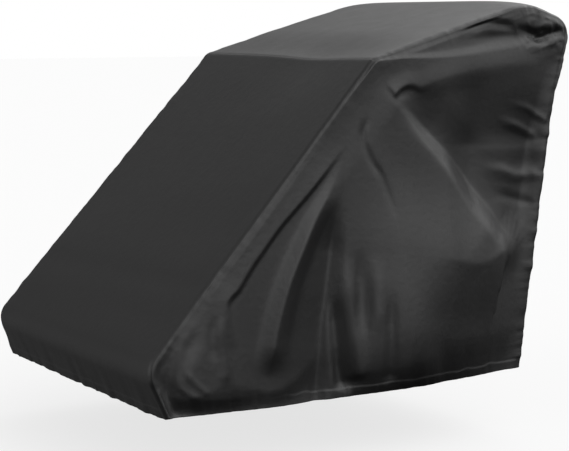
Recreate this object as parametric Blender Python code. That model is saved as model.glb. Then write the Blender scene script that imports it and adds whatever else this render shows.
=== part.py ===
"""Fitted cover for a two-wheeled bike trailer, hanging as it does over the trailer.

Five cut panels of coated cloth meet in seams: a front, a top, two sides and a rear. The top, front and rear
panels are one strip in side view, bent at the nose, brow, crest, handle and tuck. Each side panel fills
that outline and carries the folds of the hanging cloth. +X is the trailer's left, +Y its rear, +Z up.
The origin is the underside of the top panel, where the trailer's frame holds the cover up.
"""

from collections import namedtuple

import bpy
import numpy as np

# Driving sizes in metres. Heights are taken from the ground that the trailer stands on.
CLOTH = 0.002
SEAM_GAP = 0.0003
HEM_HEIGHT = 0.172
HEM_HALF_WIDTH = 0.4620
HEM_BAND = 0.024
HEM_BAND_RISE = 0.0015
HEM_DIP = 0.009
HEM_DIP_PLACE = 0.34
SEAM_ROUNDING = 0.015
HOLD = np.array([0.0, 0.190, 1.0830])

# Bends of the strip in side view, with the half width of the seam. The strip is straight between bends.
Bend = namedtuple("Bend", "name y height half_width radius")
BENDS = [
    Bend("hem_front", -0.6785, HEM_HEIGHT, HEM_HALF_WIDTH, 0.0),
    Bend("nose", -0.7242, 0.2868, 0.4465, 0.055),
    Bend("brow", -0.0715, 0.9928, 0.4185, 0.035),
    Bend("crest", 0.436, 1.1340, 0.4085, 0.180),
    Bend("handle", 0.5842, 1.0773, 0.4135, 0.050),
    Bend("tuck", 0.5135, 0.8748, 0.4235, 0.120),
    Bend("hem_rear", 0.3815, HEM_HEIGHT, HEM_HALF_WIDTH, 0.0),
]
ARC_STEPS = 16
REAR_SEAM_HEIGHT = 0.965
WIDTH_EASING = 0.075

# Rows and columns of the meshes. Weights crowd them towards the ends of an edge and towards the folds.
SIDE_ROWS = 36
SIDE_COLUMNS = 40
STRIP_ACROSS = (-1.0, -0.983, -0.95, -0.80, -0.40, 0.0, 0.40, 0.80, 0.95, 0.983, 1.0)

# Folds of a side panel. Each is a smooth path of points (y, height), in metres. Its cloth stands out by rise
# and slopes away over a width on each side, in millimetres: before is forward of a fold that runs down, and
# below one that runs rearward. Widths change from start to end, and crest is the rounding of the fold's top.
# The fold fades over the given shares of its length, and the seam holds it down near the panel's edge, within
# the last number of millimetres.
Fold = namedtuple("Fold", "name path rise before after crest fade_in fade_out held")
RAIL = ((-0.077, 0.990), (0.005, 0.996), (0.105, 0.997), (0.205, 1.002), (0.385, 1.022), (0.560, 1.030))
FOLDS = [
    Fold("rail", RAIL, 5, (300, 300), (90, 100), 10, 0.3, 0, 30),
    Fold("rail_shelf", RAIL, 8, (110, 60), (22, 24), 4, 0, 0, 20),
    Fold("wheel_top", ((-0.48, 0.59), (-0.22, 0.548), (-0.02, 0.53), (0.14, 0.505), (0.28, 0.478),
                       (0.42, 0.45)), 40, (800, 800), (380, 320), 60, 0.6, 0.3, 130),
    Fold("diagonal", ((-0.075, 0.945), (-0.036, 0.899), (0.006, 0.856), (0.068, 0.781), (0.134, 0.695),
                      (0.178, 0.636), (0.224, 0.580), (0.285, 0.502)),
         8, (60, 150), (44, 70), 4, 0.25, 0.1, 30),
    Fold("trough", ((-0.020, 0.910), (0.055, 0.843), (0.131, 0.774), (0.208, 0.699), (0.272, 0.625),
                    (0.314, 0.573), (0.380, 0.495)), -17, (36, 54), (90, 110), 4, 0.25, 0.15, 30),
    Fold("pocket_roof", ((-0.04, 0.920), (0.1, 0.938), (0.236, 0.956), (0.37, 0.970), (0.53, 0.982)),
         9, (60, 260), (60, 50), 16, 0.45, 0.2, 40),
    Fold("hollow", ((0.13, 0.775), (0.28, 0.765), (0.47, 0.755)),
         -30, (450, 450), (190, 200), 8, 0.4, 0, 60),
    Fold("step", ((-0.157, 0.797), (-0.294, 0.662), (-0.412, 0.546), (-0.483, 0.461), (-0.516, 0.399),
                  (-0.495, 0.309)), 9, (70, 50), (22, 22), 4, 0.12, 0.3, 30),
    Fold("long_ridge", ((-0.165, 0.76), (-0.212, 0.682), (-0.263, 0.611), (-0.312, 0.526), (-0.353, 0.443),
                        (-0.391, 0.329), (-0.405, 0.234)), 16, (25, 40), (30, 50), 6, 0.5, 0.15, 30),
    Fold("shaded_valley", ((-0.2, 0.66), (-0.210, 0.545), (-0.228, 0.44), (-0.25, 0.33), (-0.27, 0.15)),
         -20, (60, 110), (30, 34), 6, 0.3, 0, 30),
    Fold("pleat", ((-0.21, 0.43), (-0.212, 0.33), (-0.21, 0.257), (-0.198, 0.205)),
         -12, (22, 22), (22, 30), 6, 0.25, 0, 30),
    Fold("pleat_back", ((-0.177, 0.52), (-0.175, 0.4), (-0.167, 0.29), (-0.158, 0.2)),
         8, (24, 30), (25, 25), 8, 0.3, 0.1, 30),
    Fold("soft_valley", ((-0.062, 0.44), (-0.071, 0.32), (-0.075, 0.215)),
         -8, (22, 26), (22, 22), 8, 0.4, 0, 30),
    Fold("column", ((0.0, 0.74), (0.025, 0.47), (0.035, 0.19)), 24, (110, 170), (120, 170), 30, 0.7, 0, 30),
    Fold("low_turn", ((-0.68, 0.228), (-0.55, 0.208), (-0.42, 0.202)),
         10, (34, 34), (260, 160), 8, 0.1, 0.4, 50),
    Fold("low_crumple", ((-0.21, 0.25), (-0.11, 0.235), (0.0, 0.24), (0.10, 0.26)),
         22, (130, 130), (240, 240), 20, 0.3, 0.4, 30),
    Fold("rear_flap", ((0.01, 0.51), (0.07, 0.498), (0.133, 0.488), (0.193, 0.472), (0.254, 0.477),
                       (0.305, 0.492), (0.347, 0.480), (0.385, 0.43)),
         20, (120, 170), (200, 110), 8, 0.45, 0.3, 60),
    Fold("handle_hollow", ((0.18, 1.036), (0.30, 1.045), (0.42, 1.050), (0.56, 1.046)),
         -10, (130, 130), (34, 30), 6, 0.4, 0, 20),
    Fold("gather_a", ((0.342, 0.877), (0.434, 0.857), (0.484, 0.828)), 6, (22, 22), (22, 22), 4, 0.6, 0, 20),
    Fold("gather_c", ((0.184, 0.750), (0.272, 0.759), (0.450, 0.751)), 5, (36, 28), (40, 24), 6, 0.6, 0, 20),
    Fold("gather_d", ((0.242, 0.729), (0.350, 0.697), (0.446, 0.685)), 6, (30, 24), (24, 22), 6, 0.6, 0, 20),
    Fold("gather_e", ((0.288, 0.646), (0.366, 0.627), (0.431, 0.609)), -4, (22, 22), (22, 22), 6, 0.5, 0, 20),
]
PATH_STEPS = 6
FLANK_SOFTNESS = 0.12
HEM_BLOUSE = 0.009
HEM_BLOUSE_HEIGHT = 0.13
MILLIMETRE = 0.001

# Relief of the strip's panels.
ROOF_CROWN = 0.014
BROW_SAG = 0.008
SLOPE_CROWN = 0.011
SLOPE_CROWN_PLACE = 0.20
REAR_SAG = 0.010


def smooth(value):
    """Rises softly from 0 to 1 as value does, and stays there."""
    value = np.clip(value, 0.0, 1.0)
    return value * value * (3.0 - 2.0 * value)


def bump(value, centre, width):
    """A soft hill of height 1."""
    return np.exp(-(((value - centre) / width) ** 2))


def unit(vectors):
    return vectors / np.linalg.norm(vectors, axis=-1, keepdims=True)


def corner_arc(before, corner, after, radius):
    """Points of the round bend that touches both straight runs."""
    inward, outward = unit(before - corner), unit(after - corner)
    half_angle = np.arccos(inward @ outward) / 2
    reach = radius / np.tan(half_angle)
    centre = corner + unit(inward + outward) * radius / np.sin(half_angle)
    start = corner + inward * reach - centre
    end = corner + outward * reach - centre
    turn = np.arctan2(start[0] * end[1] - start[1] * end[0], start @ end)
    angles = np.linspace(0.0, turn, ARC_STEPS + 1)[:, None]
    across = np.array([-start[1], start[0]])
    return centre + start * np.cos(angles) + across * np.sin(angles)


class Strip:
    """The front, top and rear panels' common outline in side view."""

    def __init__(self):
        sharp = np.array([[bend.y, bend.height] for bend in BENDS])
        points = [sharp[:1]]
        middles = [0]
        for index in range(1, len(BENDS) - 1):
            arc = corner_arc(sharp[index - 1], sharp[index], sharp[index + 1], BENDS[index].radius)
            middles.append(sum(map(len, points)) + ARC_STEPS // 2)
            points.append(arc)
        points.append(sharp[-1:])
        self.points = np.concatenate(points)
        middles.append(len(self.points) - 1)
        steps = np.linalg.norm(np.diff(self.points, axis=0), axis=1)
        self.lengths = np.concatenate([[0.0], np.cumsum(steps)])
        self.at = {bend.name: self.lengths[middle] for bend, middle in zip(BENDS, middles)}
        self.half_widths = np.array([bend.half_width for bend in BENDS])

    def place(self, along):
        """y and height of points at these lengths along the outline."""
        return np.stack([np.interp(along, self.lengths, self.points[:, axis]) for axis in (0, 1)], axis=-1)

    def half_width(self, along):
        """Half width of the seam at this length, with its corners eased."""
        bends, widths = np.array(list(self.at.values())), self.half_widths
        first = widths[0] - (widths[1] - widths[0]) / (bends[1] - bends[0])
        last = widths[-1] + (widths[-1] - widths[-2]) / (bends[-1] - bends[-2])
        bends = np.concatenate([[bends[0] - 1], bends, [bends[-1] + 1]])
        widths = np.concatenate([[first], widths, [last]])
        shifts = np.linspace(-WIDTH_EASING, WIDTH_EASING, 9)
        return sum(np.interp(along + shift, bends, widths) for shift in shifts) / len(shifts)

    def outward(self, along):
        """Unit directions out of the cover, in y and height."""
        nudge = 0.002
        run = unit(self.place(along + nudge) - self.place(along - nudge))
        return np.stack([-run[..., 1], run[..., 0]], axis=-1)

    def length_at_height(self, height):
        """Where the rear of the outline passes this height."""
        rear = self.lengths > self.at["crest"]
        return np.interp(-height, -self.points[rear, 1], self.lengths[rear])


def stations(count, crowds):
    """Fractions from 0 to 1, closer together at each crowd (place, width, weight)."""
    fine = np.linspace(0.0, 1.0, 2001)
    density = 1.0 + sum(weight * bump(fine, place, width) for place, width, weight in crowds)
    filled = np.concatenate([[0.0], np.cumsum((density[1:] + density[:-1]) / 2)])
    return np.interp(np.linspace(0.0, filled[-1], count + 1), filled, fine)


def rounding(distance):
    """How far a face stands out at this distance from its seam, which is at the middle of a round edge."""
    reach = SEAM_ROUNDING * np.sqrt(0.5)
    inside = np.clip(reach - distance, 0.0, None)
    return np.sqrt(SEAM_ROUNDING ** 2 - inside ** 2) - reach


def nearest_on_line(line, y, height):
    """Distance from a line of points, place along it in its runs, and whether a point is on its left."""
    run = np.diff(line, axis=0)
    offset = np.stack([y, height], axis=-1)[..., None, :] - line[:-1]
    part = np.clip((offset * run).sum(-1) / (run * run).sum(-1), 0.0, 1.0)
    gap = offset - part[..., None] * run
    squared = (gap * gap).sum(-1)
    nearest = squared.argmin(-1)[..., None]

    def pick(values):
        return np.take_along_axis(values, nearest, -1)[..., 0]

    cross = run[:, 0] * gap[..., 1] - run[:, 1] * gap[..., 0]
    return np.sqrt(pick(squared)), nearest[..., 0] + pick(part), pick(cross) > 0


def smooth_path(points):
    """Points of a smooth curve through these, by the Catmull-Rom rule."""
    points = np.array(points)
    points = np.concatenate([2 * points[:1] - points[1:2], points, 2 * points[-1:] - points[-2:-1]])
    share = np.arange(PATH_STEPS)[:, None] / PATH_STEPS
    spans = []
    for a, b, c, d in zip(points, points[1:], points[2:], points[3:]):
        bend = a - 2.5 * b + 2 * c - d / 2
        twist = 1.5 * (b - c) + (d - a) / 2
        spans.append(b + share * ((c - a) / 2 + share * (bend + share * twist)))
    return np.concatenate(spans + [points[-2:-1]])


def fold_relief(fold, y, height):
    """Rise of the cloth that one fold gives here: two nearly flat slopes from a rounded crest."""
    line = smooth_path(fold.path)
    distance, along, is_after = nearest_on_line(line, y, height)
    along = along / (len(line) - 1)
    width = np.where(is_after, np.interp(along, [0, 1], fold.after), np.interp(along, [0, 1], fold.before))
    share = 1 - (np.hypot(distance / MILLIMETRE, fold.crest) - fold.crest) / width
    rise = fold.rise * MILLIMETRE * (share + np.hypot(share, 2 * FLANK_SOFTNESS)) / 2
    if fold.fade_in:
        rise = rise * smooth(along / fold.fade_in)
    if fold.fade_out:
        rise = rise * smooth((1 - along) / fold.fade_out)
    return rise


def side_grid(strip, edge_lengths, across, up, fold_strength, fold_shift):
    """Outer points of the left side panel, by row from the hem up and by column from front to rear."""
    front, top, rear = (strip.place(lengths) for lengths in edge_lengths)
    front_x, top_x, rear_x = (strip.half_width(lengths) for lengths in edge_lengths)
    hem = np.stack([
        front[0, 0] + (rear[0, 0] - front[0, 0]) * across,
        HEM_HEIGHT - HEM_DIP * bump(across, HEM_DIP_PLACE, 0.2) * smooth(across / 0.1),
    ], axis=-1)
    hem_x = np.full(len(across), HEM_HALF_WIDTH)
    front, top, rear, hem = (
        np.concatenate([x[:, None], edge], axis=1)
        for x, edge in ((front_x, front), (top_x, top), (rear_x, rear), (hem_x, hem))
    )
    a, b = across[None, :, None], up[:, None, None]
    grid = (1 - a) * front[:, None] + a * rear[:, None] + (1 - b) * hem[None] + b * top[None]
    grid -= (1 - a) * (1 - b) * hem[0] + a * (1 - b) * hem[-1] + (1 - a) * b * top[0] + a * b * top[-1]
    y, height = grid[..., 1], grid[..., 2]
    distance = nearest_on_line(strip.points, y, height)[0]
    above_hem = height - hem[None, :, 2]
    blouse = HEM_BLOUSE * smooth(above_hem / HEM_BLOUSE_HEIGHT) * smooth((0.5 - above_hem) / 0.4)
    relief = blouse * smooth(distance / 0.09)
    for fold in FOLDS:
        held = smooth(distance / MILLIMETRE / fold.held)
        relief += fold_strength * fold_relief(fold, y - fold_shift, height) * held
    relief *= 1 - 0.4 * np.exp(-above_hem / 0.05)
    band = HEM_BAND_RISE * (above_hem < HEM_BAND) * smooth(distance / HEM_BAND)
    grid[..., 0] += rounding(distance) + relief + band
    return grid


def strip_grid(strip, along):
    """Outer points of the strip, by row from front hem to rear hem and by column from right to left."""
    place, outward = strip.place(along), strip.outward(along)
    half_width = strip.half_width(along)[:, None]
    across = np.array(STRIP_ACROSS)[None, :]
    edge = (1 - np.abs(across)) * half_width
    length = along[:, None]
    at = strip.at
    crown = ROOF_CROWN * smooth((length - at["brow"]) / 0.2) * smooth((at["handle"] + 0.1 - length) / 0.2)
    crown = crown + SLOPE_CROWN * bump(length, at["nose"] + SLOPE_CROWN_PLACE, 0.25)
    sag = BROW_SAG * bump(across, 0.35, 0.35) * bump(length, at["brow"], 0.12)
    sag = sag + REAR_SAG * bump(length, at["tuck"], 0.20) * smooth(edge / 0.12)
    lift = rounding(edge) + crown * (1 - across ** 6) - sag
    to_hem = np.minimum(length, strip.lengths[-1] - length)
    lift = lift + HEM_BAND_RISE * (to_hem < HEM_BAND) * smooth(edge / HEM_BAND)
    grid = np.empty(lift.shape + (3,))
    grid[..., 0] = across * half_width
    grid[..., 1:] = place[:, None] + outward[:, None] * lift[..., None]
    return grid


def grid_normals(grid):
    """Unit normals of a grid of points, along rows crossed with up the columns."""
    return unit(np.cross(np.gradient(grid, axis=1), np.gradient(grid, axis=0)))


def panel(name, outer, normals, pull, material):
    """One closed sheet of cloth: an outer grid, moved by its pull at seams, an inner grid and a rim."""
    moved = outer + pull
    inner = moved - CLOTH * normals
    rows, columns = outer.shape[:2]
    layer = rows * columns

    def index(row, column):
        return row * columns + column

    faces = []
    for row in range(rows - 1):
        for column in range(columns - 1):
            corners = [
                index(row, column), index(row, column + 1), index(row + 1, column + 1), index(row + 1, column)
            ]
            flat = moved.reshape(-1, 3)[corners]
            rising = np.linalg.norm(flat[0] - flat[2]) <= np.linalg.norm(flat[1] - flat[3])
            a, b, c, d = corners if rising else corners[1:] + corners[:1]
            for face in ((a, b, c), (a, c, d)):
                faces.append(face)
                faces.append(tuple(layer + point for point in reversed(face)))
    border = [index(0, column) for column in range(columns - 1)]
    border += [index(row, columns - 1) for row in range(rows - 1)]
    border += [index(rows - 1, column) for column in range(columns - 1, 0, -1)]
    border += [index(row, 0) for row in range(rows - 1, 0, -1)]
    for here, after in zip(border, border[1:] + border[:1]):
        faces.append((after, here, here + layer))
        faces.append((after, here + layer, after + layer))
    mesh = bpy.data.meshes.new(name)
    points = np.concatenate([moved.reshape(-1, 3), inner.reshape(-1, 3)]) - HOLD
    mesh.from_pydata(points.tolist(), [], faces)
    mesh.shade_smooth()
    mesh.set_sharp_from_angle(angle=np.radians(50))
    mesh.materials.append(material)
    piece = bpy.data.objects.new(name, mesh)
    bpy.context.scene.collection.objects.link(piece)
    return piece


def black_cloth():
    material = bpy.data.materials.new("coated_cloth")
    material.use_nodes = True
    shader = material.node_tree.nodes["Principled BSDF"]
    shader.inputs["Base Color"].default_value = (0.022, 0.022, 0.023, 1.0)
    shader.inputs["Roughness"].default_value = 0.55
    shader.inputs["Metallic"].default_value = 0.0
    return material


def build():
    for item in list(bpy.data.objects):
        bpy.data.objects.remove(item)
    cloth = black_cloth()
    strip = Strip()
    across = stations(SIDE_COLUMNS, [(0.0, 0.02, 3.0), (1.0, 0.02, 3.0), (0.45, 0.22, 1.0)])
    up = stations(SIDE_ROWS, [(0.0, 0.03, 3.0), (1.0, 0.03, 3.0), (0.12, 0.04, 1.0)])
    crest = strip.at["crest"]
    end = strip.lengths[-1]
    front_edge = strip.at["brow"] * up
    top_edge = strip.at["brow"] + (crest - strip.at["brow"]) * across
    rear_edge = end - (end - crest) * up
    along = np.concatenate([front_edge, top_edge[1:], rear_edge[::-1][1:]])

    mirror = np.array([-1.0, 1.0, 1.0])
    seam = np.concatenate([strip.half_width(along)[:, None], strip.place(along)], axis=1)
    seam_normals = np.concatenate([np.ones((len(along), 1)), strip.outward(along)], axis=1) / np.sqrt(2)
    to_side = unit(np.cross(np.gradient(seam, axis=0), seam_normals)) * SEAM_GAP / 2

    middle = strip_grid(strip, along)
    middle_normals = grid_normals(middle)
    middle_normals[:, -1] = seam_normals
    middle_normals[:, 0] = seam_normals * mirror
    rear_seam = int(np.argmin(np.abs(along - strip.length_at_height(REAR_SEAM_HEIGHT))))
    for name, first, last in (
        ("front_panel", 0, SIDE_ROWS),
        ("top_panel", SIDE_ROWS, rear_seam),
        ("rear_panel", rear_seam, len(along) - 1),
    ):
        outer = middle[first:last + 1]
        pull = np.zeros_like(outer)
        pull[:, -1] = -to_side[first:last + 1]
        pull[:, 0] = pull[:, -1] * mirror
        if first > 0:
            pull[0] += unit(outer[1] - outer[0]) * SEAM_GAP / 2
        if last < len(along) - 1:
            pull[-1] += unit(outer[-2] - outer[-1]) * SEAM_GAP / 2
        panel(name, outer, middle_normals[first:last + 1], pull, cloth)

    edges = (np.s_[:SIDE_ROWS + 1], np.s_[SIDE_ROWS:SIDE_ROWS + SIDE_COLUMNS + 1], np.s_[:-SIDE_ROWS - 2:-1])
    rims = (np.s_[:, 0], np.s_[-1], np.s_[:, -1])
    sides = (("left_side_panel", 1, 1.0, 0.0), ("right_side_panel", -1, 0.9, 0.018))
    for name, side, strength, shift in sides:
        outer = side_grid(strip, (front_edge, top_edge, rear_edge), across, up, strength, shift)
        normals = grid_normals(outer)
        pull = np.zeros_like(outer)
        for edge, rim in zip(edges, rims):
            normals[rim] = seam_normals[edge]
            pull[rim] = to_side[edge]
        if side < 0:
            outer, normals, pull = (grid[:, ::-1] * mirror for grid in (outer, normals, pull))
        panel(name, outer, normals, pull, cloth)


build()
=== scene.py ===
"""Looks of the bike trailer cover.

Black coated cloth in five sewn panels. The front, top and rear panels follow one outline in side view, and
the two side panels fill it. The folds, the gathered hem and the puckered seams are relief on the panels.
"""

from collections import namedtuple
from math import cos, pi, radians, sin

import bpy
import numpy as np
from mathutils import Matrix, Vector


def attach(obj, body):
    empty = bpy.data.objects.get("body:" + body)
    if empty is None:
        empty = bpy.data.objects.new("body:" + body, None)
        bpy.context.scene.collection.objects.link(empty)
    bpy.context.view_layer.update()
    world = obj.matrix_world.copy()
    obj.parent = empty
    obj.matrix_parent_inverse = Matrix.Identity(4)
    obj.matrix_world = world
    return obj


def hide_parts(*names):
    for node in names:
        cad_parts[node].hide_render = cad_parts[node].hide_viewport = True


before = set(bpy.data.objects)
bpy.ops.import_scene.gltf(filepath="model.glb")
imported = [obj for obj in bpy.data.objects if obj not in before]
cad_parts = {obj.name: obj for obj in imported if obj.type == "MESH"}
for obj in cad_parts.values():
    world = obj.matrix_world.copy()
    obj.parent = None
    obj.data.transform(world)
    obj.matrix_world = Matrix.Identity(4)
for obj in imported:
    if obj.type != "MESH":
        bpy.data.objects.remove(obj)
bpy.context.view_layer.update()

# ---------------------------------------------------------------- sizes, in metres, heights above ground
CLOTH = 0.0014
SEAM_ALLOWANCE = 0.008
ALLOWANCE_LEAN = 0.3
STRIP_ROUNDING = 0.018
SIDE_ROUNDING = 0.002
# The frame's origin, under the top, and a point well inside the cover, which seam allowances turn towards.
HOLD = np.array([0.0, 0.190, 1.0830])
INSIDE = np.array([0.0, 0.0, 0.60])

# The hem: its height and half width, its band, and how far it dips towards the front of a side.
HEM_HEIGHT = 0.172
HEM_HALF_WIDTH = 0.4620
HEM_DIP = 0.009
HEM_DIP_PLACE = 0.34
HEM_DIP_WIDTH = 0.2
HEM_DIP_RAMP = 0.1
HEM_BAND = 0.024
HEM_BAND_RISE = 0.0015
HEM_BAND_EDGE = 0.002
HEM_BAND_SPACING = 0.03
HEM_BAND_UNEVENNESS = 0.15
HEM_BAND_SEED = 5
HEM_BAND_START = -0.45
HEM_BAND_RAMP = 0.25
STRIP_BAND_SHARE = 0.5
STRIP_BAND_STEP = 0.003

# Bends of the outline in side view, from the front hem over the top to the rear hem.
Bend = namedtuple("Bend", "name y height half_width radius")
BENDS = [
    Bend("hem_front", -0.6785, HEM_HEIGHT, HEM_HALF_WIDTH, 0.0),
    Bend("nose", -0.7242, 0.2868, 0.4465, 0.055),
    Bend("brow", -0.0715, 0.9928, 0.4185, 0.035),
    Bend("crest", 0.436, 1.1340, 0.4085, 0.180),
    Bend("handle", 0.5842, 1.0773, 0.4135, 0.050),
    Bend("tuck", 0.5135, 0.8748, 0.4235, 0.120),
    Bend("hem_rear", 0.3815, HEM_HEIGHT, HEM_HALF_WIDTH, 0.0),
]
ARC_STEPS = 16
REAR_SEAM_HEIGHT = 0.965
WIDTH_EASING = 0.075
WIDTH_EASING_STEPS = 9
NUDGE = 0.004

# Rows and columns of the grids, and where they lie closer together, as shares of the panel.
Crowd = namedtuple("Crowd", "place width weight")
SIDE_ROWS = 200
SIDE_ROW_CROWDS = [Crowd(0.0, 0.04, 2.0), Crowd(1.0, 0.06, 1.5)]
SIDE_COLUMNS = 232
SIDE_COLUMN_CROWDS = [Crowd(0.0, 0.02, 1.5), Crowd(1.0, 0.03, 1.5), Crowd(0.45, 0.22, 0.5)]
STRIP_COLUMNS = 140
STRIP_COLUMN_CROWDS = [Crowd(0.0, 0.03, 2.0), Crowd(1.0, 0.03, 2.0)]

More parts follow.
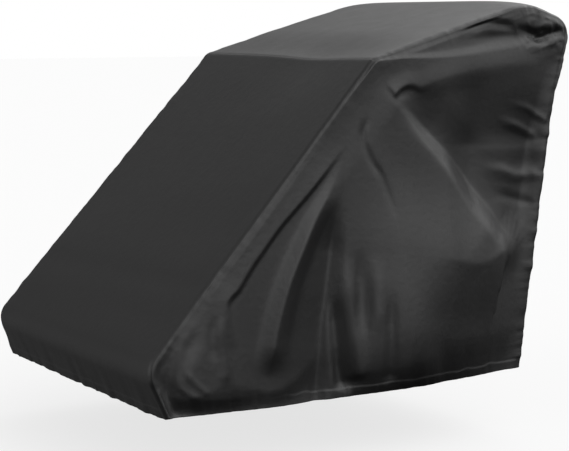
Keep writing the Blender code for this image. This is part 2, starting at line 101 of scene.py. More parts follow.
# Folds of a side panel. The path is a smooth curve through points (y, height) in metres, and the other sizes
# are in millimetres. The rise is out of the cloth, or into it where negative. Before and after are the widths
# of the slopes on the front or lower side and on the rear or upper side, at the path's start and at its end.
# The crest is the rounding of the top. The fades are shares of the path's length. A seam holds the fold down
# as far from it as held says.
Fold = namedtuple("Fold", "name path rise before after crest fade_in fade_out held")
RAIL = ((-0.077, 0.990), (0.005, 0.996), (0.105, 0.997), (0.205, 1.002), (0.385, 1.022), (0.560, 1.030))
FOLDS = [
    Fold("rail", RAIL, 5, (300, 300), (90, 100), 10, 0.3, 0, 18),
    Fold("rail_shelf", RAIL, 5, (110, 60), (3, 26), 0.6, 0, 0, 6),
    Fold("wheel_top", ((-0.48, 0.59), (-0.22, 0.548), (-0.02, 0.53), (0.14, 0.505), (0.28, 0.478),
                       (0.42, 0.45)),
         40, (800, 800), (380, 320), 60, 0.6, 0.3, 130),
    Fold("diagonal", ((-0.075, 0.945), (-0.036, 0.899), (0.006, 0.856), (0.068, 0.781), (0.134, 0.695),
                      (0.178, 0.636), (0.224, 0.580), (0.285, 0.502)),
         8, (60, 150), (44, 70), 2, 0.25, 0.1, 18),
    Fold("trough", ((-0.020, 0.910), (0.055, 0.843), (0.131, 0.774), (0.208, 0.699), (0.272, 0.625),
                    (0.314, 0.573), (0.380, 0.495)),
         -17, (36, 54), (90, 110), 2, 0.25, 0.15, 18),
    Fold("pocket", ((-0.024, 0.905), (0, 0.922), (0.03, 0.93), (0.06, 0.924), (0.104, 0.937), (0.236, 0.966),
                    (0.37, 0.98), (0.52, 0.984)),
         5, (10, 60), (30, 40), 3, 0.04, 0.8, 18),
    Fold("pocket_roof", ((-0.04, 0.920), (0.1, 0.938), (0.236, 0.956), (0.37, 0.970), (0.53, 0.982)),
         9, (60, 260), (60, 50), 16, 0.45, 0.2, 40),
    Fold("hollow", ((0.13, 0.775), (0.28, 0.765), (0.47, 0.755)),
         -30, (450, 450), (190, 200), 8, 0.4, 0, 60),
    Fold("pocket_mouth", ((-0.020, 0.895), (0.004, 0.912), (0.032, 0.919), (0.065, 0.908), (0.110, 0.912)),
         -3, (12, 24), (7, 12), 2.5, 0.3, 0.5, 18),
    Fold("step", ((-0.157, 0.797), (-0.248, 0.706), (-0.294, 0.662), (-0.358, 0.604), (-0.412, 0.546),
                  (-0.447, 0.507), (-0.483, 0.461), (-0.512, 0.435), (-0.516, 0.399), (-0.504, 0.340),
                  (-0.495, 0.309)),
         6, (70, 50), (9, 12), 2.5, 0.12, 0.3, 18),
    Fold("long_ridge", ((-0.165, 0.76), (-0.212, 0.682), (-0.263, 0.611), (-0.312, 0.526), (-0.353, 0.443),
                        (-0.391, 0.329), (-0.405, 0.234)),
         16, (14, 40), (30, 50), 3, 0.5, 0.15, 18),
    Fold("shaded_valley", ((-0.2, 0.66), (-0.210, 0.545), (-0.228, 0.44), (-0.25, 0.33), (-0.27, 0.15)),
         -20, (60, 110), (30, 34), 4, 0.3, 0, 18),
    Fold("twin_ridge", ((-0.195, 0.56), (-0.207, 0.47), (-0.224, 0.388), (-0.238, 0.324), (-0.245, 0.24)),
         1.5, (16, 18), (16, 16), 8, 0.4, 0.3, 18),
    Fold("pleat", ((-0.21, 0.43), (-0.212, 0.33), (-0.21, 0.257), (-0.198, 0.205)),
         -11, (12, 22), (14, 30), 4, 0.25, 0, 18),
    Fold("pleat_back", ((-0.177, 0.52), (-0.175, 0.4), (-0.167, 0.29), (-0.158, 0.2)),
         8, (24, 30), (25, 25), 6, 0.3, 0.1, 18),
    Fold("soft_valley_a", ((-0.14, 0.54), (-0.141, 0.418), (-0.15, 0.31)),
         -4, (18, 18), (18, 18), 8, 0.35, 0.4, 18),
    Fold("soft_ridge", ((-0.093, 0.52), (-0.102, 0.395), (-0.115, 0.3)),
         4, (18, 18), (18, 18), 8, 0.35, 0.4, 18),
    Fold("soft_valley_b", ((-0.062, 0.44), (-0.071, 0.32), (-0.075, 0.215)),
         -6, (14, 26), (12, 18), 4, 0.4, 0, 18),
    Fold("column", ((0.0, 0.74), (0.025, 0.47), (0.035, 0.19)),
         24, (110, 170), (120, 170), 30, 0.7, 0, 18),
    Fold("s_crease", ((-0.092, 0.861), (-0.109, 0.822), (-0.107, 0.783), (-0.087, 0.739), (-0.065, 0.708),
                      (-0.048, 0.657), (-0.038, 0.616), (-0.036, 0.578)),
         -4, (14, 16), (9, 10), 2, 0.2, 0.35, 18),
    Fold("low_turn", ((-0.68, 0.226), (-0.55, 0.206), (-0.42, 0.200)),
         9, (30, 30), (260, 160), 6, 0.1, 0.4, 30),
    Fold("nose_hollow", ((-0.700, 0.184), (-0.660, 0.180), (-0.600, 0.178)),
         -14, (20, 20), (130, 120), 5, 0, 0.6, 24),
    Fold("nose_valley", ((-0.59, 0.38), (-0.637, 0.298), (-0.65, 0.25)),
         -3, (24, 24), (18, 18), 6, 0.3, 0.3, 18),
    Fold("nose_ridge", ((-0.536, 0.42), (-0.532, 0.343), (-0.528, 0.285), (-0.532, 0.227)),
         3.5, (14, 18), (16, 18), 5, 0.3, 0.2, 18),
    Fold("nose_crease", ((-0.54, 0.41), (-0.556, 0.365), (-0.56, 0.327), (-0.547, 0.288)),
         -2.5, (14, 16), (10, 12), 4, 0.3, 0.3, 18),
    Fold("streak_a", ((-0.640, 0.285), (-0.605, 0.245), (-0.572, 0.215)),
         2, (8, 8), (8, 8), 2, 0.2, 0.2, 18),
    Fold("streak_b", ((-0.654, 0.250), (-0.630, 0.228), (-0.603, 0.212)),
         2, (8, 8), (8, 8), 2, 0.2, 0.2, 18),
    Fold("gather_a", ((0.342, 0.877), (0.397, 0.868), (0.434, 0.857), (0.462, 0.842), (0.484, 0.828)),
         3.5, (12, 10), (12, 9), 2, 0.6, 0, 8),
    Fold("gather_b", ((0.315, 0.841), (0.361, 0.825), (0.407, 0.810), (0.450, 0.790)),
         4, (16, 14), (14, 10), 3, 0.6, 0, 8),
    Fold("gather_c", ((0.184, 0.750), (0.272, 0.759), (0.363, 0.755), (0.450, 0.751)),
         4, (40, 30), (40, 24), 6, 0.6, 0, 8),
    Fold("gather_d", ((0.242, 0.729), (0.296, 0.709), (0.350, 0.697), (0.401, 0.682), (0.446, 0.685)),
         4.5, (30, 18), (18, 14), 3, 0.6, 0, 8),
    Fold("gather_e", ((0.288, 0.646), (0.366, 0.627), (0.431, 0.609)),
         -3, (18, 14), (20, 14), 3, 0.5, 0, 8),
    Fold("handle_wrinkle_a", ((0.385, 1.068), (0.435, 1.061), (0.473, 1.048), (0.501, 1.055), (0.535, 1.062)),
         -8, (12, 14), (12, 12), 2, 0.3, 0, 8),
    Fold("handle_wrinkle_b", ((0.425, 1.055), (0.465, 1.037), (0.505, 1.038)),
         -6, (12, 12), (12, 12), 2, 0.3, 0.2, 8),
    Fold("handle_hollow", ((0.18, 1.036), (0.30, 1.045), (0.42, 1.050), (0.56, 1.046)),
         -10, (130, 130), (34, 30), 5, 0.4, 0, 10),
    Fold("ridge_hollow", ((0.2, 1.062), (0.277, 1.08), (0.323, 1.083), (0.392, 1.074)),
         -5, (14, 14), (12, 12), 4, 0.3, 0.2, 10),
    Fold("rear_flap", ((0.01, 0.51), (0.07, 0.498), (0.133, 0.488), (0.193, 0.472), (0.254, 0.477),
                       (0.305, 0.492), (0.347, 0.480), (0.385, 0.43)),
         20, (120, 170), (200, 110), 5, 0.45, 0.3, 60),
    Fold("low_crumple", ((-0.21, 0.25), (-0.11, 0.235), (0.0, 0.24), (0.10, 0.26)),
         22, (130, 130), (240, 240), 20, 0.3, 0.4, 18),
]
PATH_STEPS = 6
FLANK_SOFTNESS = 0.12
MILLIMETRE = 0.001

# The cloth's fullness above the gathered hem, which grows towards the rear and fades up the panel.
BLOUSE = 0.009
BLOUSE_HEIGHT = 0.13
BLOUSE_SPACING = 0.13
BLOUSE_UNEVENNESS = 0.4
BLOUSE_SEED = 3
BLOUSE_START = -0.40
BLOUSE_RAMP = 0.25
BLOUSE_FRONT_SHARE = 0.5
BLOUSE_TOP = 0.5
BLOUSE_FADE = 0.4
BLOUSE_SEAM_REACH = 0.09
# The share of the folds that the hem's elastic flattens, and up to where.
HEM_PULL = 0.4
HEM_PULL_REACH = 0.05

# Puckers of the seams. A gathering thread, from this length along the outline on, makes them stronger.
PUCKER_START = 1.50
PUCKER_RAMP = 0.15
PUCKER_SPACING = 0.024
PUCKER_FINE_SPACING = 0.45 * PUCKER_SPACING
PUCKER_OUTWARD_SPACING = 1.4 * PUCKER_SPACING
PUCKER_LEANS = (0.3, -0.2)
PUCKER_SEEDS = (11, 12, 13)
PUCKER_REACH = 0.022
PUCKER_SIZE = 0.0026
PUCKER_LOOSE_SHARE = 0.25
PUCKER_OUTWARD_SHARE = 0.6
# Ruffles of the cloth above the hem's elastic.
RUFFLE_SPACING = 0.030
RUFFLE_FINE_SPACING = 0.4 * RUFFLE_SPACING
RUFFLE_LEAN = 0.15
RUFFLE_REACH = 0.070
RUFFLE_FINE_REACH = 0.45 * RUFFLE_REACH
RUFFLE_SIZE = 0.0022
RUFFLE_SEAM_REACH = 0.02
STRIP_RUFFLE_SEED = 31
# The finer waves' size in puckers and ruffles, as a share of the wide ones'.
FINE_SHARE = 0.6

# Uneven humps are waves along one direction times waves along another. Each has its own spacing and seed, and
# leans towards the other direction.
Humps = namedtuple("Humps", "spacings leans seeds")
# Wrinkles at the push handle's corner: their middle (y, height) and how far they reach.
CRUMPLE_SIZE = 0.008
CRUMPLE_PLACE = (0.505, 1.055)
CRUMPLE_REACH = (0.075, 0.040)
CRUMPLE_COARSE = Humps((0.024, 0.017), (0.5, -0.3), (51, 52))
CRUMPLE_SHARPNESS = 3
CRUMPLE_FINE = Humps((0.011, 0.010), (-0.8, 0.2), (53, 54))
CRUMPLE_FINE_SHARE = 0.5
CRUMPLE_SEAM_REACH = 0.015
# The trough along a seam, which is gone where the roof pulls the seam tight.
SEAM_GROOVE = 0.0012
SEAM_GROOVE_WIDTH = 0.004
TIGHT_START_RAMP = 0.04
TIGHT_END_RAMP = 0.1

# Crowns and sags of the strip, placed by length along the outline. The power sets how flat a crown's top is.
CROWN_POWER = 6
ROOF_CROWN = 0.014
ROOF_CROWN_PAST_HANDLE = 0.1
ROOF_CROWN_RAMP = 0.2
SLOPE_CROWN = 0.011
SLOPE_CROWN_PLACE = 0.20
SLOPE_CROWN_WIDTH = 0.25
BROW_SAG = 0.008
BROW_SAG_PLACE = 0.35
BROW_SAG_SPREAD = 0.35
BROW_SAG_WIDTH = 0.12
REAR_SAG = 0.010
REAR_SAG_WIDTH = 0.20
REAR_SAG_SEAM_REACH = 0.12
# Slack of the front slope, between these lengths along the outline: broad waves and one soft crease.
SLOPE_START = 0.15
SLOPE_START_RAMP = 0.1
SLOPE_END = 1.0
SLOPE_END_RAMP = 0.15
SLOPE_WAVE = 0.005
SLOPE_WAVES = Humps((0.26, 0.21), (0.3, -0.2), (41, 42))
SLOPE_CREASE = 0.0016
SLOPE_CREASE_PLACE = 0.33
SLOPE_CREASE_LEAN = 0.05
SLOPE_CREASE_WIDTH = 0.035
SLOPE_SEAM_REACH = 0.06


# ---------------------------------------------------------------- curves and noise
def smooth(value):
    """Rises softly from 0 to 1 as value does, and stays there."""
    value = np.clip(value, 0.0, 1.0)
    return value * value * (3.0 - 2.0 * value)


def ramp(value, start, length):
    """Rises softly from 0 at start to 1, this length further on."""
    return smooth((value - start) / length)


def fall(value, end, length):
    """Falls softly from 1 to 0 at end, over this length before it."""
    return smooth((end - value) / length)


def bump(value, centre, width):
    """A soft hill of height 1."""
    return np.exp(-(((value - centre) / width) ** 2))


def unit(vectors):
    return vectors / np.linalg.norm(vectors, axis=-1, keepdims=True)


WAVER_CELLS = 997
WAVER_FIRST_CELL = 500.0


def waver(place, spacing, seed):
    """Uneven waves between -1 and 1, about this far apart along place. Each seed gives its own waves."""
    heights = np.random.default_rng(seed).uniform(-1.0, 1.0, WAVER_CELLS)
    cells = place / spacing + WAVER_FIRST_CELL
    low = np.floor(cells).astype(int)
    blend = smooth(cells - low)
    return heights[low % WAVER_CELLS] * (1 - blend) + heights[(low + 1) % WAVER_CELLS] * blend


def uneven(first, second, humps):
    """Humps and hollows between -1 and 1 at these places along two directions."""
    waves = waver(first + humps.leans[0] * second, humps.spacings[0], humps.seeds[0])
    return waves * waver(second + humps.leans[1] * first, humps.spacings[1], humps.seeds[1])


def corner_arc(before, corner, after, radius):
    """Points of the round bend that touches both straight runs."""
    inward, outward = unit(before - corner), unit(after - corner)
    half_angle = np.arccos(inward @ outward) / 2
    reach = radius / np.tan(half_angle)
    centre = corner + unit(inward + outward) * radius / np.sin(half_angle)
    start = corner + inward * reach - centre
    end = corner + outward * reach - centre
    turn = np.arctan2(start[0] * end[1] - start[1] * end[0], start @ end)
    angles = np.linspace(0.0, turn, ARC_STEPS + 1)[:, None]
    across = np.array([-start[1], start[0]])
    return centre + start * np.cos(angles) + across * np.sin(angles)


class Strip:
    """The front, top and rear panels' common outline in side view."""

    def __init__(self):
        sharp = np.array([[bend.y, bend.height] for bend in BENDS])
        points = [sharp[:1]]
        middles = [0]
        for index in range(1, len(BENDS) - 1):
            arc = corner_arc(sharp[index - 1], sharp[index], sharp[index + 1], BENDS[index].radius)
            middles.append(sum(map(len, points)) + ARC_STEPS // 2)
            points.append(arc)
        points.append(sharp[-1:])
        self.points = np.concatenate(points)
        middles.append(len(self.points) - 1)
        steps = np.linalg.norm(np.diff(self.points, axis=0), axis=1)
        self.lengths = np.concatenate([[0.0], np.cumsum(steps)])
        self.at = {bend.name: self.lengths[middle] for bend, middle in zip(BENDS, middles)}
        self.half_widths = np.array([bend.half_width for bend in BENDS])

    def place(self, along):
        """y and height of points at these lengths along the outline."""
        return np.stack([np.interp(along, self.lengths, self.points[:, axis]) for axis in (0, 1)], axis=-1)

    def half_width(self, along):
        """Half width of the seam at this length, with its corners eased."""
        bends, widths = np.array(list(self.at.values())), self.half_widths
        first = widths[0] - (widths[1] - widths[0]) / (bends[1] - bends[0])
        last = widths[-1] + (widths[-1] - widths[-2]) / (bends[-1] - bends[-2])
        bends = np.concatenate([[bends[0] - 1], bends, [bends[-1] + 1]])
        widths = np.concatenate([[first], widths, [last]])
        shifts = np.linspace(-WIDTH_EASING, WIDTH_EASING, WIDTH_EASING_STEPS)
        return sum(np.interp(along + shift, bends, widths) for shift in shifts) / len(shifts)

    def outward(self, along):
        """Unit directions out of the cover, in y and height."""
        run = unit(self.place(along + NUDGE) - self.place(along - NUDGE))
        return np.stack([-run[..., 1], run[..., 0]], axis=-1)

    def length_at_height(self, height):
        """Where the rear of the outline passes this height."""
        rear = self.lengths > self.at["crest"]
        return np.interp(-height, -self.points[rear, 1], self.lengths[rear])


STATION_STEPS = 2000


def stations(count, crowds):
    """Shares from 0 to 1 that split a length into this many cells, with smaller cells at each crowd."""
    fine = np.linspace(0.0, 1.0, STATION_STEPS + 1)
    density = 1.0 + sum(crowd.weight * bump(fine, crowd.place, crowd.width) for crowd in crowds)
    filled = np.concatenate([[0.0], np.cumsum((density[1:] + density[:-1]) / 2)])
    return np.interp(np.linspace(0.0, filled[-1], count + 1), filled, fine)


def rounding(distance, radius):
    """How far a face stands out at this distance from its seam, which is at the middle of a round edge."""
    reach = radius * np.sqrt(0.5)
    inside = np.clip(reach - distance, 0.0, None)
    return np.sqrt(radius ** 2 - inside ** 2) - reach


def nearest_on_line(line, y, height):
    """Distance from a line of points, place along it counted in its runs, and whether it is on the left."""
    best = np.full(y.shape, np.inf)
    along = np.zeros(y.shape)
    is_left = np.zeros(y.shape, bool)
    for index, (start, end) in enumerate(zip(line[:-1], line[1:])):
        run = end - start
        part = np.clip(((y - start[0]) * run[0] + (height - start[1]) * run[1]) / (run @ run), 0.0, 1.0)
        gap_y, gap_height = y - start[0] - part * run[0], height - start[1] - part * run[1]
        squared = gap_y ** 2 + gap_height ** 2
        nearer = squared < best
        best = np.where(nearer, squared, best)
        along = np.where(nearer, index + part, along)
        is_left = np.where(nearer, run[0] * gap_height > run[1] * gap_y, is_left)
    return np.sqrt(best), along, is_left


def smooth_path(points):
    """Points of a smooth curve through these, by the Catmull-Rom rule."""
    points = np.array(points)
    points = np.concatenate([2 * points[:1] - points[1:2], points, 2 * points[-1:] - points[-2:-1]])
    share = np.arange(PATH_STEPS)[:, None] / PATH_STEPS
    spans = []
    for a, b, c, d in zip(points, points[1:], points[2:], points[3:]):
        spans.append(b + share * ((c - a) / 2 + share * (a - 2.5 * b + 2 * c - d / 2
                                                         + share * (1.5 * (b - c) + (d - a) / 2))))
    return np.concatenate(spans + [points[-2:-1]])


def fold_relief(fold, y, height):
    """Rise of the cloth that one fold gives at these points: two nearly flat slopes from a rounded crest."""
    line = smooth_path(fold.path)
    distance, along, is_after = nearest_on_line(line, y, height)
    along = along / (len(line) - 1)
    width = np.where(is_after, np.interp(along, [0, 1], fold.after), np.interp(along, [0, 1], fold.before))
    share = 1 - (np.hypot(distance / MILLIMETRE, fold.crest) - fold.crest) / width
    rise = fold.rise * MILLIMETRE * (share + np.hypot(share, 2 * FLANK_SOFTNESS)) / 2
    if fold.fade_in:
        rise = rise * smooth(along / fold.fade_in)
    if fold.fade_out:
        rise = rise * smooth((1 - along) / fold.fade_out)
    return rise


def pucker(along, edge):
    """How far the gathered seams pull their cloth sideways and outward, at this length and off the edge."""
    gathered = ramp(along, PUCKER_START, PUCKER_RAMP)
    near = np.exp(-edge / PUCKER_REACH)
    wide = waver(along + PUCKER_LEANS[0] * edge, PUCKER_SPACING, PUCKER_SEEDS[0])
    fine = waver(along + PUCKER_LEANS[1] * edge, PUCKER_FINE_SPACING, PUCKER_SEEDS[1])
    outward = waver(along, PUCKER_OUTWARD_SPACING, PUCKER_SEEDS[2])
    size = PUCKER_SIZE * (PUCKER_LOOSE_SHARE + (1 - PUCKER_LOOSE_SHARE) * gathered) * near
    return (wide + FINE_SHARE * fine) * size, PUCKER_OUTWARD_SHARE * outward * size


def ruffle(along, above, seed):
    """Sideways waves of the cloth that its hem gathers: wide ones, and finer ones that die out sooner."""
    wide = waver(along, RUFFLE_SPACING, seed)
    wide = wide * np.exp(-(above / RUFFLE_REACH) ** 2)
    fine = waver(along + RUFFLE_LEAN * above, RUFFLE_FINE_SPACING, seed + 1)
    fine = fine * np.exp(-(above / RUFFLE_FINE_REACH) ** 2)
    return RUFFLE_SIZE * (wide + FINE_SHARE * fine)


def groove(strip, along, distance):
    """Depth of the trough in which a seam lies, except where the roof pulls it tight."""
    tight = ramp(along, strip.at["brow"], TIGHT_START_RAMP) * fall(along, strip.at["crest"], TIGHT_END_RAMP)
    return SEAM_GROOVE * (1 - tight) * np.exp(-(distance / SEAM_GROOVE_WIDTH) ** 2)


def crumple(y, height):
    """Small sharp wrinkles where the push handle's corner bunches the cloth up."""
    near = bump(y, CRUMPLE_PLACE[0], CRUMPLE_REACH[0]) * bump(height, CRUMPLE_PLACE[1], CRUMPLE_REACH[1])
    coarse, fine = uneven(y, height, CRUMPLE_COARSE), uneven(y, height, CRUMPLE_FINE)
    return CRUMPLE_SIZE * near * (1 - CRUMPLE_SHARPNESS * np.abs(coarse) + CRUMPLE_FINE_SHARE * fine)


def panel_between(front, top, rear, hem, across, up):
    """A grid of points that spans its four edges evenly, by row from the hem up."""
    a, b = across[None, :, None], up[:, None, None]
    grid = (1 - a) * front[:, None] + a * rear[:, None] + (1 - b) * hem[None] + b * top[None]
    grid -= (1 - a) * (1 - b) * hem[0] + a * (1 - b) * hem[-1] + (1 - a) * b * top[0] + a * b * top[-1]
    return grid


def side_grid(strip, edge_lengths, across, up, side):
    """Outer points of a side panel, as on the left, by row from the hem up and by column to the rear."""
    front, top, rear = (
        np.concatenate([strip.half_width(lengths)[:, None], strip.place(lengths)], axis=1)
        for lengths in edge_lengths
    )
    dip = HEM_DIP * bump(across, HEM_DIP_PLACE, HEM_DIP_WIDTH) * smooth(across / HEM_DIP_RAMP)
    hem_y = front[0, 1] + (rear[0, 1] - front[0, 1]) * across
    hem = np.stack([np.full(len(across), HEM_HALF_WIDTH), hem_y, HEM_HEIGHT - dip], axis=-1)
    grid = panel_between(front, top, rear, hem, across, up)
    y, height = grid[..., 1].copy(), grid[..., 2].copy()
    above_hem = height - hem[None, :, 2]
    distance, place, _ = nearest_on_line(strip.points, y, height)
    along = np.interp(place, np.arange(len(strip.lengths)), strip.lengths)

    fullness = BLOUSE_HEIGHT * (1 + BLOUSE_UNEVENNESS * waver(y, BLOUSE_SPACING, BLOUSE_SEED))
    rearward = ramp(y, BLOUSE_START, BLOUSE_RAMP)
    fullness = fullness * (BLOUSE_FRONT_SHARE + (1 - BLOUSE_FRONT_SHARE) * rearward)
    blouse = BLOUSE * smooth(above_hem / fullness) * fall(above_hem, BLOUSE_TOP, BLOUSE_FADE)
    relief = blouse * smooth(distance / BLOUSE_SEAM_REACH)
    for fold in FOLDS:
        free = smooth(distance / MILLIMETRE / fold.held)
        relief += side.strength * fold_relief(fold, y - side.shift, height) * free
    relief *= 1 - HEM_PULL * np.exp(-above_hem / HEM_PULL_REACH)
    relief += ruffle(y, above_hem, side.seed) * smooth(distance / RUFFLE_SEAM_REACH)
    relief += crumple(y, height) * smooth(distance / CRUMPLE_SEAM_REACH)

    band_waves = waver(y, HEM_BAND_SPACING, side.seed + HEM_BAND_SEED)
    band_top = HEM_BAND * (1 + HEM_BAND_UNEVENNESS * band_waves) + HEM_BAND_EDGE
    band = HEM_BAND_RISE * fall(above_hem, band_top, 2 * HEM_BAND_EDGE) * smooth(distance / HEM_BAND)
    band *= ramp(y, HEM_BAND_START, HEM_BAND_RAMP)
    seam = rounding(distance, SIDE_ROUNDING) - groove(strip, along, distance)
    sideways, outward = pucker(along + side.seed, distance)
    grid[..., 0] += seam + relief + band + sideways
    grid[..., 1:] += strip.outward(along) * outward[..., None]
    return grid


def slope_relief(x, length):
    """Slack of the long front panel: broad waves, and one soft crease across it."""
    waves = uneven(x, length, SLOPE_WAVES)
    crease = bump(length, SLOPE_CREASE_PLACE + SLOPE_CREASE_LEAN * x, SLOPE_CREASE_WIDTH)
    on_slope = ramp(length, SLOPE_START, SLOPE_START_RAMP) * fall(length, SLOPE_END, SLOPE_END_RAMP)
    return on_slope * (SLOPE_WAVE * waves - SLOPE_CREASE * crease)


def strip_grid(strip, along, across, seeds):
    """Outer points of the strip, by row from the front hem to the rear hem and by column to the left."""
    half_width = strip.half_width(along)[:, None]
    length, across = along[:, None], across[None, :]
    x = across * half_width
    edge = (1 - np.abs(across)) * half_width
    to_hem = np.minimum(length, strip.lengths[-1] - length)
    brow, handle, tuck = strip.at["brow"], strip.at["handle"], strip.at["tuck"]

    crown = ROOF_CROWN * ramp(length, brow, ROOF_CROWN_RAMP)
    crown = crown * fall(length, handle + ROOF_CROWN_PAST_HANDLE, ROOF_CROWN_RAMP)
    crown = crown + SLOPE_CROWN * bump(length, strip.at["nose"] + SLOPE_CROWN_PLACE, SLOPE_CROWN_WIDTH)
    sag = BROW_SAG * bump(across, BROW_SAG_PLACE, BROW_SAG_SPREAD) * bump(length, brow, BROW_SAG_WIDTH)
    sag = sag + REAR_SAG * bump(length, tuck, REAR_SAG_WIDTH) * smooth(edge / REAR_SAG_SEAM_REACH)
    lift = rounding(edge, STRIP_ROUNDING) - groove(strip, length, edge)
    lift = lift + crown * (1 - across ** CROWN_POWER) - sag
    lift = lift + slope_relief(x, length) * smooth(edge / SLOPE_SEAM_REACH)
    band = STRIP_BAND_SHARE * HEM_BAND_RISE * fall(to_hem, HEM_BAND + HEM_BAND_EDGE, STRIP_BAND_STEP)
    lift = lift + band * smooth(edge / HEM_BAND)
    lift = lift + ruffle(x, to_hem, STRIP_RUFFLE_SEED) * smooth(edge / RUFFLE_SEAM_REACH)
    left, right = (pucker(length + seed, edge) for seed in seeds)
    sideways = np.where(across > 0, left[0], -right[0])
    lift = lift + np.where(across > 0, left[1], right[1])

    grid = np.empty(lift.shape + (3,))
    grid[..., 0] = x + sideways
    grid[..., 1:] = strip.place(along)[:, None] + strip.outward(along)[:, None] * lift[..., None]
    return grid


# ---------------------------------------------------------------- cloth
def new_object(name, mesh):
    piece = bpy.data.objects.new(name, mesh)
    bpy.context.scene.collection.objects.link(piece)
    return piece


def with_allowance(grid, sides):
    """The grid with the seam allowance turned inward along the named sides."""
    around = {
        "first_row": (0, 0, 1),
        "last_row": (0, -1, -2),
        "first_column": (1, 0, 1),
        "last_column": (1, -1, -2),
    }
    for side in sides:
        axis, edge, next_in = around[side]
        seam = np.take(grid, edge, axis)
        into_panel = unit(np.take(grid, next_in, axis) - seam)
        turn = unit(unit(INSIDE - seam) - ALLOWANCE_LEAN * into_panel)
        fin = np.expand_dims(seam + turn * SEAM_ALLOWANCE, axis)
        grid = np.concatenate([fin, grid] if edge == 0 else [grid, fin], axis)
    return grid


def cloth_sheet(name, grid, sides, material):
    """A sheet of cloth from a grid of outer points, with its cut lengths as a UV map in metres.

    The allowances of two sides that meet are notched, so no face joins them at their corner.
    """
    grid = with_allowance(grid, sides)
    rows, columns = grid.shape[:2]
    corner = np.arange(rows - 1)[:, None] * columns + np.arange(columns - 1)
    is_cloth = np.ones(corner.shape, bool)
    for row, row_side in ((0, "first_row"), (-1, "last_row")):
        for column, column_side in ((0, "first_column"), (-1, "last_column")):
            if row_side in sides and column_side in sides:
                is_cloth[row, column] = False
    corner = corner[is_cloth]
    faces = np.stack([corner, corner + 1, corner + columns + 1, corner + columns], axis=-1)
    mesh = bpy.data.meshes.new(name)
    mesh.from_pydata((grid - HOLD).reshape(-1, 3).tolist(), [], faces.tolist())
    steps_across = np.linalg.norm(np.diff(grid, axis=1), axis=-1)
    steps_up = np.linalg.norm(np.diff(grid, axis=0), axis=-1)
    cut_across = np.concatenate([np.zeros((rows, 1)), np.cumsum(steps_across, axis=1)], axis=1)
    cut_across -= cut_across[:, columns // 2, None]
    cut_up = np.concatenate([np.zeros((1, columns)), np.cumsum(steps_up, axis=0)], axis=0)
    cut = np.stack([cut_across, cut_up], axis=-1).reshape(-1, 2)
    layer = mesh.uv_layers.new(name="cut")
    layer.data.foreach_set("uv", cut[faces.ravel()].ravel())
    mesh.shade_smooth()
    mesh.materials.append(material)
    piece = new_object(name, mesh)
    thickness = piece.modifiers.new("thickness", "SOLIDIFY")
    thickness.thickness = CLOTH
    thickness.offset = -1.0
    return piece


# ---------------------------------------------------------------- material
BLACK = (0.012, 0.012, 0.0122, 1.0)
SPECULAR = 0.75
ROUGHNESS = 0.38
ROUGHNESS_SPREAD = 0.05
WEAR_SPACING = 0.05
WEAR_DETAIL = 3.0
YARN_PAIR = 0.0008
YARN_DEPTH = 0.00003
CRINKLE_SPACING = 0.016
CRINKLE_DETAIL = 4.0
CRINKLE_DEPTH = 0.0006


def math_node(nodes, links, operation, first, second=0.0):
    """The output of a math node that is fed by a socket or a number on each side."""
    node = nodes.new("ShaderNodeMath")
    node.operation = operation
    for socket, value in zip(node.inputs, (first, second)):
        if isinstance(value, float):
            socket.default_value = value
        else:
            links.new(value, socket)
    return node.outputs[0]


def noise(nodes, links, place, spacing, detail):
    """An uneven pattern between 0 and 1, about this coarse in metres."""
    node = nodes.new("ShaderNodeTexNoise")
    node.inputs["Scale"].default_value = 1 / spacing
    node.inputs["Detail"].default_value = detail
    links.new(place, node.inputs["Vector"])
    return node.outputs["Fac"]


def bumped(nodes, links, height, depth, normal):
    """The normal of a surface with this pattern of heights pressed into it."""
    node = nodes.new("ShaderNodeBump")
    node.inputs["Strength"].default_value = 1.0
    node.inputs["Distance"].default_value = depth
    links.new(height, node.inputs["Height"])
    if normal:
        links.new(normal, node.inputs["Normal"])
    return node.outputs["Normal"]


def black_cloth():
    """Coated black polyester: near-black and satin, with uneven wear, fine crinkles and a plain weave."""
    material = bpy.data.materials.new("coated_cloth")
    material.use_nodes = True
    nodes, links = material.node_tree.nodes, material.node_tree.links
    shader = nodes["Principled BSDF"]
    shader.inputs["Base Color"].default_value = BLACK
    shader.inputs["Specular IOR Level"].default_value = SPECULAR

    place = nodes.new("ShaderNodeTexCoord").outputs["Object"]
    wear = noise(nodes, links, place, WEAR_SPACING, WEAR_DETAIL)
    spread = nodes.new("ShaderNodeMapRange")
    spread.inputs["To Min"].default_value = ROUGHNESS - ROUGHNESS_SPREAD
    spread.inputs["To Max"].default_value = ROUGHNESS + ROUGHNESS_SPREAD
    links.new(wear, spread.inputs["Value"])
    links.new(spread.outputs["Result"], shader.inputs["Roughness"])

    cut = nodes.new("ShaderNodeUVMap")
    cut.uv_map = "cut"
    axes = nodes.new("ShaderNodeSeparateXYZ")
    links.new(cut.outputs["UV"], axes.inputs["Vector"])
    yarns = []
    for axis in axes.outputs[:2]:
        turns = math_node(nodes, links, "MULTIPLY", axis, 2 * pi / YARN_PAIR)
        yarns.append(math_node(nodes, links, "SINE", turns))
    weave = math_node(nodes, links, "MULTIPLY", *yarns)
    crinkles = noise(nodes, links, place, CRINKLE_SPACING, CRINKLE_DETAIL)
    crinkled = bumped(nodes, links, crinkles, CRINKLE_DEPTH, None)
    links.new(bumped(nodes, links, weave, YARN_DEPTH, crinkled), shader.inputs["Normal"])
    return material


# ---------------------------------------------------------------- stage
CAMERA_PLACE = (3.667, -2.384, 1.089)
CAMERA_DOWN = 7.289
CAMERA_TURN = 57.74
CAMERA_LENS = 101.16
CAMERA_SENSOR = 36.0

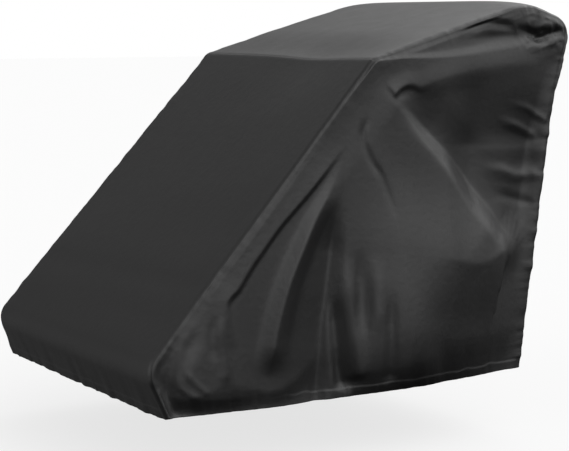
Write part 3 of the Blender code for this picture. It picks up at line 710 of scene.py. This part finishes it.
FLOOR_REACH = 40.0
PALE = (0.25, 0.25, 0.25, 1.0)
WHITE = (1.0, 1.0, 1.0, 1.0)
FLOOR_GLOW = 0.75


def camera():
    """The view from the front left of the cover, with its place in metres and its angles in degrees."""
    lens = bpy.data.cameras.new("camera")
    lens.lens = CAMERA_LENS
    lens.sensor_width = CAMERA_SENSOR
    view = new_object("camera", lens)
    view.location = Vector(CAMERA_PLACE) - Vector(HOLD)
    view.rotation_euler = (radians(90 - CAMERA_DOWN), 0.0, radians(CAMERA_TURN))
    bpy.context.scene.camera = view


# Softboxes and the pale room, as soft lobes of light. The azimuth and elevation, in degrees, say where each
# stands as seen from the cover: 0 is on its left, 90 behind it, 180 on its right and 270 before it.
Lamp = namedtuple("Lamp", "name azimuth elevation strength")
LAMPS = [
    Lamp("left", 0, 15, 0.66),
    Lamp("left_high", 0, 45, 1.85),
    Lamp("rear_left", 40, 28, 0.80),
    Lamp("rear_left_high", 60, 50, 0.80),
    Lamp("rear", 88, 28, 1.15),
    Lamp("rear_right_high", 120, 45, 2.20),
    Lamp("rear_right", 135, 15, 0.10),
    Lamp("right_high", 180, 45, 0.31),
    Lamp("right_low", 180, -15, 0.10),
    Lamp("front_right_high", 240, 45, 0.20),
    Lamp("front_right", 225, 15, 0.18),
    Lamp("front_right_low", 225, -15, 0.28),
    Lamp("front", 270, 15, 1.45),
]
LAMP_SPREAD = 8.0


def studio_world():
    """A dark surround with soft lobes of light, which the camera sees as plain white."""
    world = bpy.data.worlds.new("studio")
    bpy.context.scene.world = world
    world.use_nodes = True
    nodes, links = world.node_tree.nodes, world.node_tree.links
    nodes.clear()
    where = nodes.new("ShaderNodeTexCoord").outputs["Generated"]
    total = None
    for lamp in LAMPS:
        azimuth, elevation = radians(lamp.azimuth), radians(lamp.elevation)
        level = cos(elevation)
        facing = nodes.new("ShaderNodeVectorMath")
        facing.operation = "DOT_PRODUCT"
        facing.inputs[1].default_value = (cos(azimuth) * level, sin(azimuth) * level, sin(elevation))
        links.new(where, facing.inputs[0])
        lobe = math_node(nodes, links, "MAXIMUM", facing.outputs["Value"], 0.0)
        lobe = math_node(nodes, links, "POWER", lobe, LAMP_SPREAD)
        lobe = math_node(nodes, links, "MULTIPLY", lobe, lamp.strength)
        total = lobe if total is None else math_node(nodes, links, "ADD", total, lobe)
    studio = nodes.new("ShaderNodeBackground")
    links.new(total, studio.inputs["Strength"])
    white = nodes.new("ShaderNodeBackground")
    seen = nodes.new("ShaderNodeMixShader")
    white.inputs["Color"].default_value = WHITE
    links.new(nodes.new("ShaderNodeLightPath").outputs["Is Camera Ray"], seen.inputs["Fac"])
    links.new(studio.outputs["Background"], seen.inputs[1])
    links.new(white.outputs["Background"], seen.inputs[2])
    output = nodes.new("ShaderNodeOutputWorld")
    links.new(seen.outputs["Shader"], output.inputs["Surface"])


def stage():
    """A pale floor that the cloth doesn't mirror, and the studio light."""
    corners = ((-1, -1), (1, -1), (1, 1), (-1, 1))
    mesh = bpy.data.meshes.new("floor")
    mesh.from_pydata([(x * FLOOR_REACH, y * FLOOR_REACH, -HOLD[2]) for x, y in corners], [], [(0, 1, 2, 3)])
    floor = new_object("floor", mesh)
    floor.visible_glossy = False
    floor.visible_diffuse = False
    floor.visible_shadow = False
    pale = bpy.data.materials.new("floor_pale")
    pale.use_nodes = True
    shader = pale.node_tree.nodes["Principled BSDF"]
    shader.inputs["Base Color"].default_value = PALE
    shader.inputs["Roughness"].default_value = 1.0
    shader.inputs["Specular IOR Level"].default_value = 0.0
    shader.inputs["Emission Color"].default_value = WHITE
    shader.inputs["Emission Strength"].default_value = FLOOR_GLOW
    mesh.materials.append(pale)
    studio_world()
    bpy.context.scene.view_settings.view_transform = "Standard"


# ---------------------------------------------------------------- build
# The right side is the left one's mirror image, with its folds a little weaker and further back.
Side = namedtuple("Side", "name mirror strength shift seed")
SIDES = [
    Side("left_side", 1.0, 1.0, 0.0, 0),
    Side("right_side", -1.0, 0.9, 0.018, 7),
]
# Each panel's cut size in metres, and its area in square metres where it is less than that rectangle's.
Cut = namedtuple("Cut", "flat area")

camera()
cloth = black_cloth()
strip = Strip()
across = stations(SIDE_COLUMNS, SIDE_COLUMN_CROWDS)
up = stations(SIDE_ROWS, SIDE_ROW_CROWDS)
strip_across = 2 * stations(STRIP_COLUMNS, STRIP_COLUMN_CROWDS) - 1
brow, crest, end = strip.at["brow"], strip.at["crest"], strip.lengths[-1]
front_edge = brow * up
top_edge = brow + (crest - brow) * across
rear_edge = end - (end - crest) * up
along = np.concatenate([front_edge, top_edge[1:], rear_edge[::-1][1:]])
rear_seam = int(np.argmin(np.abs(along - strip.length_at_height(REAR_SEAM_HEIGHT))))

pieces = {}
middle = strip_grid(strip, along, strip_across, [side.seed for side in SIDES])
for name, first, last, ends in (
    ("front", 0, SIDE_ROWS, ("last_row",)),
    ("top", SIDE_ROWS, rear_seam, ("first_row", "last_row")),
    ("rear", rear_seam, len(along) - 1, ("first_row",)),
):
    seams = ends + ("first_column", "last_column")
    pieces[name] = cloth_sheet(f"{name}_cloth", middle[first:last + 1], seams, cloth)
for side in SIDES:
    grid = side_grid(strip, (front_edge, top_edge, rear_edge), across, up, side)
    if side.mirror < 0:
        grid = grid[:, ::-1] * np.array([side.mirror, 1.0, 1.0])
    seams = ("first_column", "last_row", "last_column")
    pieces[side.name] = cloth_sheet(f"{side.name}_cloth", grid, seams, cloth)

for name, piece in pieces.items():
    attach(piece, "root")
    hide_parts(f"{name}_panel")

stage()
